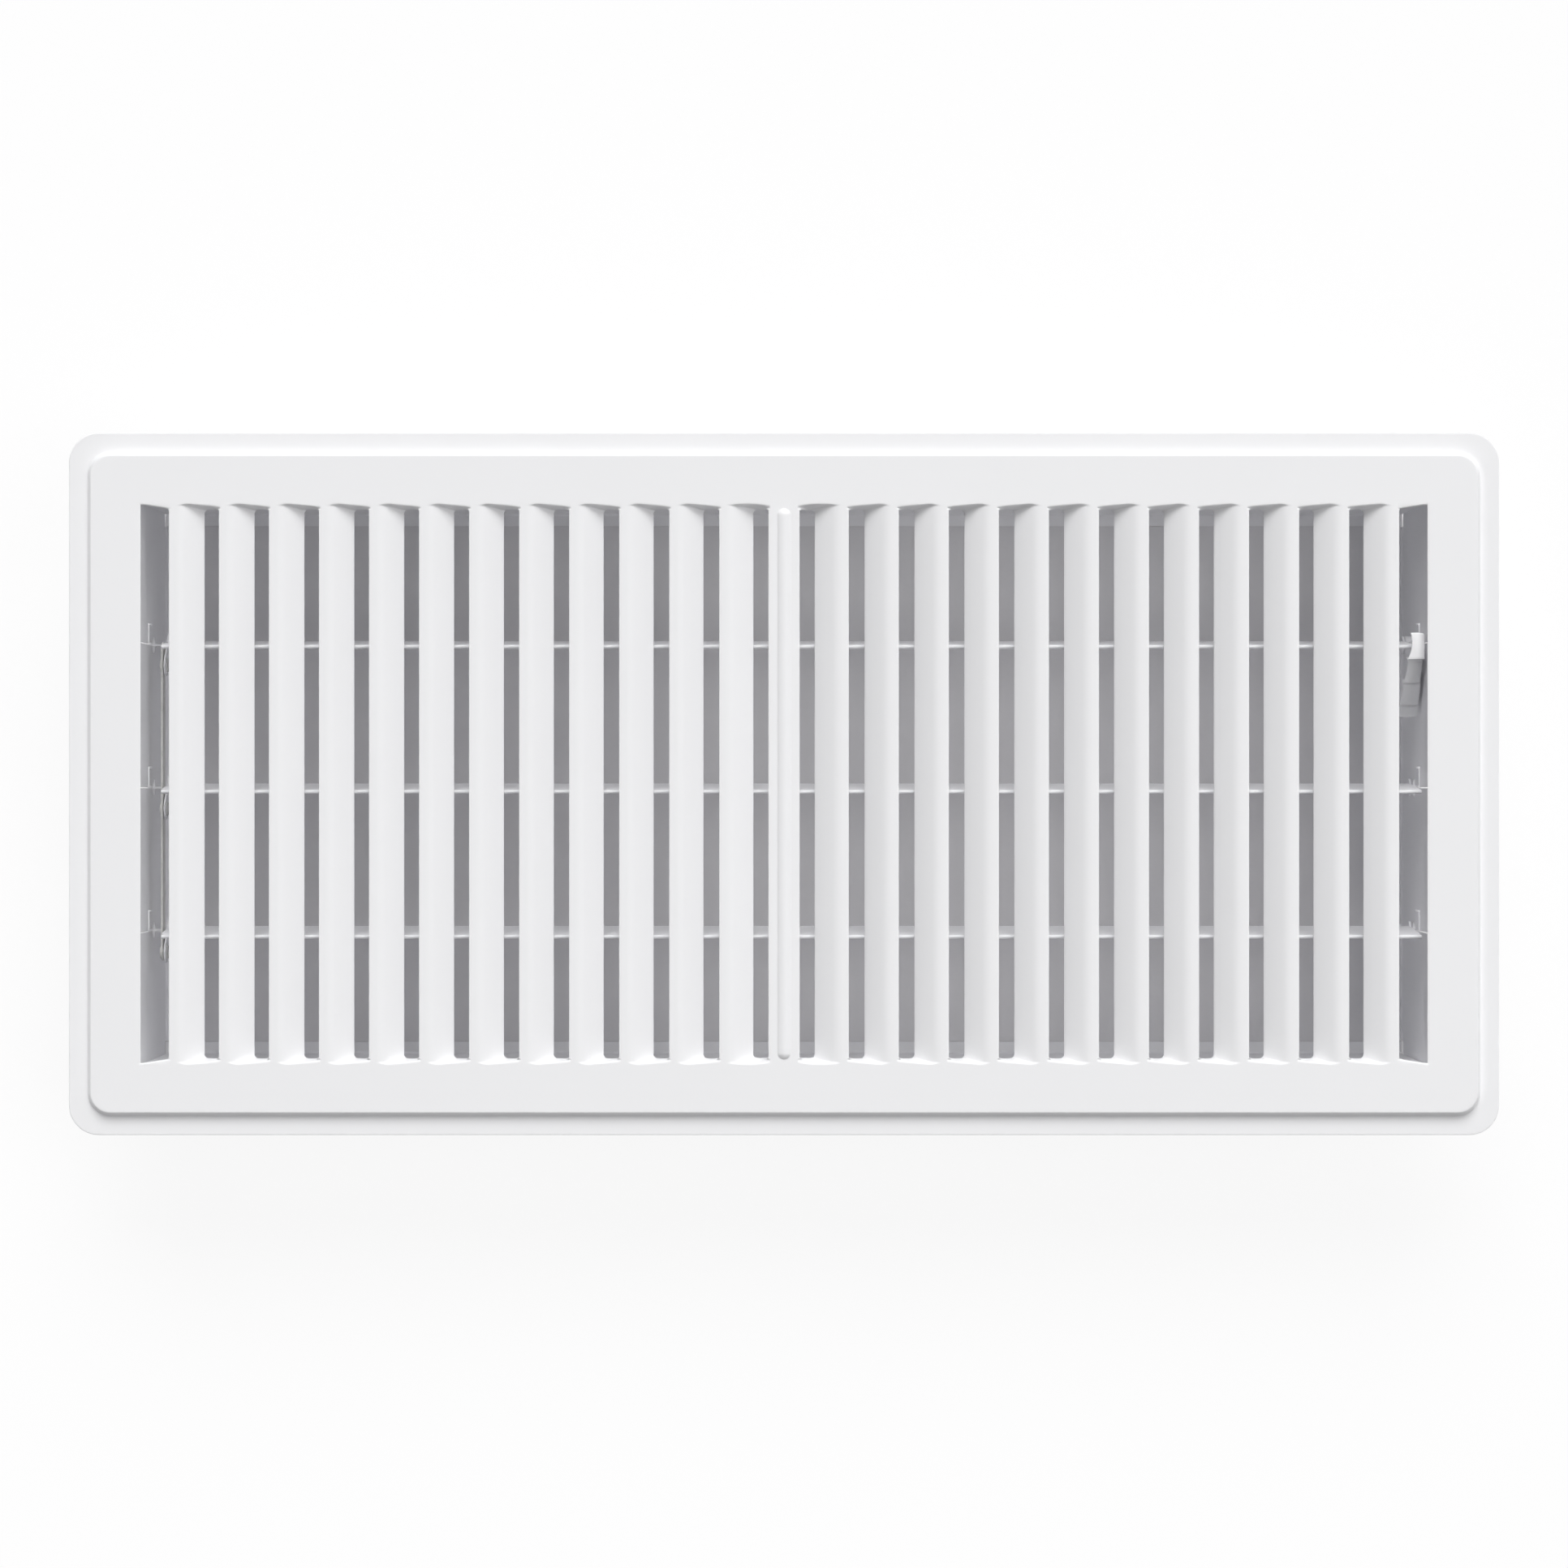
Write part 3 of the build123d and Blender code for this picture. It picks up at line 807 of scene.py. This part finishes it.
def zinc_material():
    """Dull zinc plate: a pale oxidised skin with a faint spangle and drawn grain."""
    material, tree, shader, place = new_material("zinc_plate")
    spangle = node(tree, "ShaderNodeTexVoronoi", Scale=420.0)
    tree.links.new(place, spangle.inputs["Vector"])
    tone = tree.nodes.new("ShaderNodeSeparateColor")
    tree.links.new(spangle.outputs["Color"], tone.inputs["Color"])
    vary_colour(tree, shader, tone.outputs["Red"], first=(0.66, 0.655, 0.63), second=(0.74, 0.735, 0.71))
    grain = tree.nodes.new("ShaderNodeMapping")
    grain.inputs["Scale"].default_value = (3000.0, 120.0, 3000.0)
    tree.links.new(place, grain.inputs["Vector"])
    streak = noise(tree, grain.outputs["Vector"], scale=1.0, detail=2.0)
    vary_roughness(tree, shader, streak, low=0.55, high=0.68)
    add_bump(tree, shader, streak, strength=0.08, distance=0.05 * MM)
    shader.inputs["Metallic"].default_value = 0.3
    return material


def plastic_material():
    """Satin white moulded plastic."""
    material, tree, shader, place = new_material("lever_plastic")
    cloud = noise(tree, place, scale=160.0, detail=2.0)
    vary_colour(tree, shader, cloud, first=(0.92, 0.92, 0.93), second=(0.935, 0.935, 0.945))
    patches = noise(tree, place, scale=1400.0, detail=2.0)
    vary_roughness(tree, shader, patches, low=0.4, high=0.52)
    texture = noise(tree, place, scale=4500.0, detail=2.0)
    add_bump(tree, shader, texture, strength=0.06, distance=0.06 * MM)
    shader.inputs["Specular IOR Level"].default_value = 0.4
    return material


def set_material(piece, material):
    piece.data.materials.clear()
    piece.data.materials.append(material)


materials = {
    "white_enamel": enamel_material(),
    "zinc_plate": zinc_material(),
    "lever_plastic": plastic_material(),
}

face_plate = build_face()
set_material(face_plate, materials["white_enamel"])
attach(face_plate, "frame")
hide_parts("face_grille")

lever_moulding = build_lever()
set_material(lever_moulding, materials["lever_plastic"])
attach(lever_moulding, "blade_1")
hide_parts("thumb_lever")

walls = ("side_wall_far", "side_wall_near", "end_wall_left", "end_wall_right")
blades = ("damper_blade_1", "damper_blade_2", "damper_blade_3")
links = ("tie_bar", "link_rivet_1", "link_rivet_2", "link_rivet_3")
for name in walls + blades:
    set_material(frame["nodes"][name], materials["white_enamel"])
for name in links:
    set_material(frame["nodes"][name], materials["zinc_plate"])


# Stage: the floor's size, level and colour, how bright its white looks and how much of that is mixed in,
# the world's light, the lamps' angular size and the camera's place
floor_reach = 6.0
floor_level = -0.2 * MM
floor_colour = (0.78, 0.773, 0.782, 1.0)
floor_white = 1.04
white_share = 0.85
white = (1.0, 1.0, 1.0, 1.0)
world_strength = 0.02
sun_spread = math.radians(40.0)
camera_distance = 1.074
view_width = 0.41685


def math_node(tree, operation, first, second):
    """A node that works on two values, each a number, a socket or nothing."""
    made = tree.nodes.new("ShaderNodeMath")
    made.operation = operation
    for place, value in enumerate((first, second)):
        if isinstance(value, float):
            made.inputs[place].default_value = value
        elif value is not None:
            tree.links.new(value, made.inputs[place])
    return made.outputs["Value"]


def white_for_eyes(tree):
    """1 for camera, glossy and transmission rays, 0 for the rays that carry light."""
    path = tree.nodes.new("ShaderNodeLightPath")
    total = path.outputs["Is Camera Ray"]
    for name in ("Is Glossy Ray", "Is Transmission Ray"):
        total = math_node(tree, "MAXIMUM", total, path.outputs[name])
    return total


def outside_box(tree):
    """0 on the floor under the box, rising to 1 halfway out to the face plate's outline."""
    box_low, box_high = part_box("side_wall_near")
    place = tree.nodes.new("ShaderNodeTexCoord")
    split = tree.nodes.new("ShaderNodeSeparateXYZ")
    tree.links.new(place.outputs["Object"], split.inputs["Vector"])
    beyond = []
    for axis, start, stop in (("X", box_high.x, half_length), ("Y", -box_low.y, half_width)):
        size = math_node(tree, "ABSOLUTE", split.outputs[axis], None)
        halfway = (start + stop) / 2
        ramp = node(tree, "ShaderNodeMapRange", From_Min=float(start), From_Max=float(halfway))
        tree.links.new(size, ramp.inputs["Value"])
        beyond.append(ramp.outputs["Result"])
    return math_node(tree, "MAXIMUM", *beyond)


def floor_material():
    """Pale and lit like any surface, but seen almost white around the box."""
    material = bpy.data.materials.new("floor")
    material.use_nodes = True
    tree = material.node_tree
    tree.nodes.clear()
    lit = node(tree, "ShaderNodeBsdfDiffuse", Color=floor_colour)
    glow = node(tree, "ShaderNodeEmission", Color=white, Strength=floor_white)
    mix = tree.nodes.new("ShaderNodeMixShader")
    output = tree.nodes.new("ShaderNodeOutputMaterial")
    seen = math_node(tree, "MULTIPLY", white_for_eyes(tree), outside_box(tree))
    tree.links.new(math_node(tree, "MULTIPLY", seen, white_share), mix.inputs["Fac"])
    tree.links.new(lit.outputs["BSDF"], mix.inputs[1])
    tree.links.new(glow.outputs["Emission"], mix.inputs[2])
    tree.links.new(mix.outputs["Shader"], output.inputs["Surface"])
    return material


def build_floor():
    """A floor that keeps the object's shadow. Under the box it shows only the light that falls on it."""
    corners = [(-1, -1), (1, -1), (1, 1), (-1, 1)]
    places = [(floor_reach * x, floor_reach * y, floor_level) for x, y in corners]
    mesh = bpy.data.meshes.new("floor")
    mesh.from_pydata(places, [], [(0, 1, 2, 3)])
    floor = link_piece("floor", mesh)
    set_material(floor, floor_material())


def build_world():
    """White to look at, with hardly any light of its own."""
    world = bpy.data.worlds.new("studio")
    bpy.context.scene.world = world
    world.use_nodes = True
    tree = world.node_tree
    tree.nodes.clear()
    soft = node(tree, "ShaderNodeBackground", Color=white, Strength=world_strength)
    glow = node(tree, "ShaderNodeBackground", Color=white, Strength=1.0)
    mix = tree.nodes.new("ShaderNodeMixShader")
    output = tree.nodes.new("ShaderNodeOutputWorld")
    tree.links.new(white_for_eyes(tree), mix.inputs["Fac"])
    tree.links.new(soft.outputs["Background"], mix.inputs[1])
    tree.links.new(glow.outputs["Background"], mix.inputs[2])
    tree.links.new(mix.outputs["Shader"], output.inputs["Surface"])


def build_sun(name, azimuth, elevation, strength):
    """A broad soft lamp, from an azimuth counted from +X towards +Y and an elevation, in degrees."""
    data = bpy.data.lights.new(name, "SUN")
    data.energy = strength
    data.angle = sun_spread
    sun = bpy.data.objects.new(name, data)
    bpy.context.scene.collection.objects.link(sun)
    turn = math.radians(azimuth)
    rise = math.radians(elevation)
    towards = Vector((math.cos(rise) * math.cos(turn), math.cos(rise) * math.sin(turn), math.sin(rise)))
    sun.rotation_mode = "QUATERNION"
    sun.rotation_quaternion = towards.to_track_quat("Z", "Y")


def build_camera():
    """Straight above the register's middle, at the photograph's distance and field of view."""
    data = bpy.data.cameras.new("camera")
    camera = bpy.data.objects.new("camera", data)
    bpy.context.scene.collection.objects.link(camera)
    data.sensor_width = 36.0
    data.lens = data.sensor_width * camera_distance / view_width
    data.clip_start = 0.1
    data.clip_end = 20.0
    camera.location = (0.0, 0.0, panel_top + camera_distance)
    bpy.context.scene.camera = camera


build_floor()
build_world()
build_sun("far_key", azimuth=90.0, elevation=40.0, strength=2.48)
build_sun("right_key", azimuth=0.0, elevation=60.0, strength=0.87)
build_sun("far_right_fill", azimuth=45.0, elevation=30.0, strength=0.28)
build_sun("right_fill", azimuth=0.0, elevation=15.0, strength=0.27)
build_sun("left_fill", azimuth=180.0, elevation=15.0, strength=0.54)
build_sun("near_fill", azimuth=270.0, elevation=30.0, strength=0.13)
build_camera()
bpy.context.scene.view_settings.view_transform = "Standard"
# The white box passes light on from wall to wall many times
bpy.context.scene.cycles.diffuse_bounces = 12
